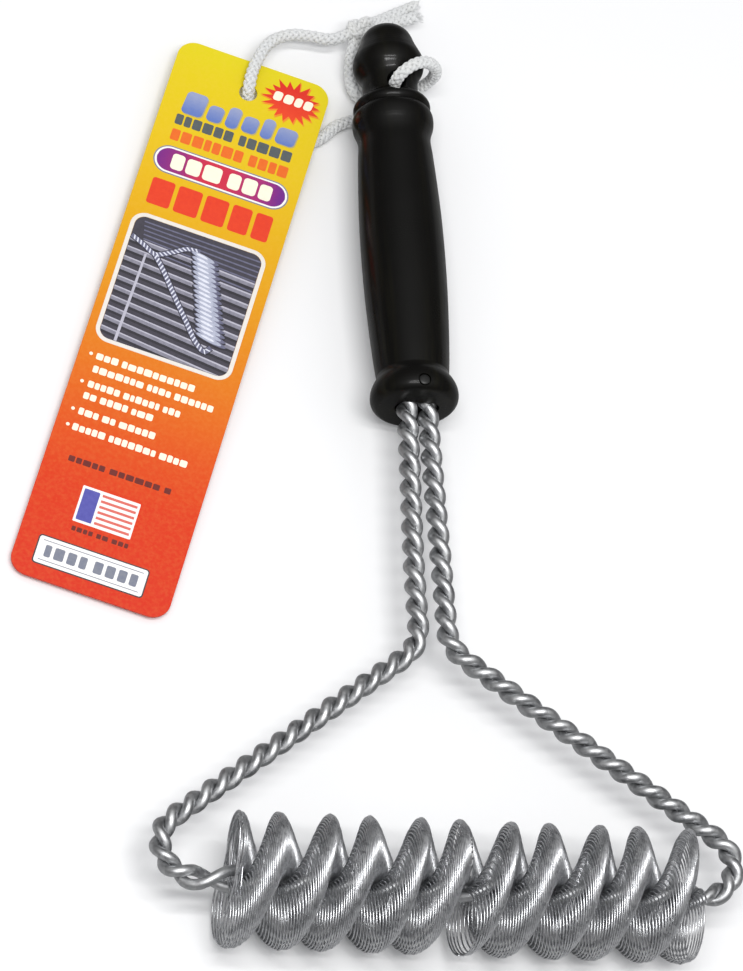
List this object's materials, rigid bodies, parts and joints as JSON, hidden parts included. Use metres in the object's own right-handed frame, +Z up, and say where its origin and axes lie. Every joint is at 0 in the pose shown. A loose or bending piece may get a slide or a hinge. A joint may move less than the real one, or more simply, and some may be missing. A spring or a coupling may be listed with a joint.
{
  "type": "grill cleaning brush",
  "caption": "Bristle-free grill brush: black turned handle, twisted wire triangle frame, coil springs threaded on the head wires as a spiral, neck cord and hang tag.",
  "frame": {"origin": "centre of the flat end of the handle's knob", "axes": "+Y along the handle from the head out through the knob end, +X along the head, +Z up out of the face of the brush"},
  "size_m": [0.2043, 0.3221, 0.0388],
  "materials": {
    "lacquered_wood": "black gloss lacquer",
    "pin_steel": "painted over",
    "galvanized_wire": "bright galvanized",
    "spring_wire": "bright galvanized",
    "cord_fibre": "braided, satin",
    "tag_card": "coated card, semi-gloss"
  },
  "bodies": {
    "brush": {"handle": "lacquered_wood", "retaining_pin": "pin_steel", "stem_wire_a": "galvanized_wire", "stem_wire_b": "galvanized_wire", "coil_spring_a_left": "spring_wire", "coil_spring_b_left": "spring_wire", "coil_spring_a_right": "spring_wire", "coil_spring_b_right": "spring_wire"},
    "cord": {"hang_cord": "cord_fibre"},
    "tag": {"hang_tag": "tag_card"}
  },
  "joints": [
    {"name": "cord_swing", "type": "hinge", "parent": "brush", "child": "cord", "pos_m": [0, -0.0225, 0], "axis": [0, 0, 1], "range_deg": [0, 8]},
    {"name": "tag_swing", "type": "hinge", "parent": "cord", "child": "tag", "pos_m": [-0.042, -0.02, -0.009], "axis": [-0.0124, -0.0382, 0.9992], "range_deg": [-30, 8]}
  ]
}
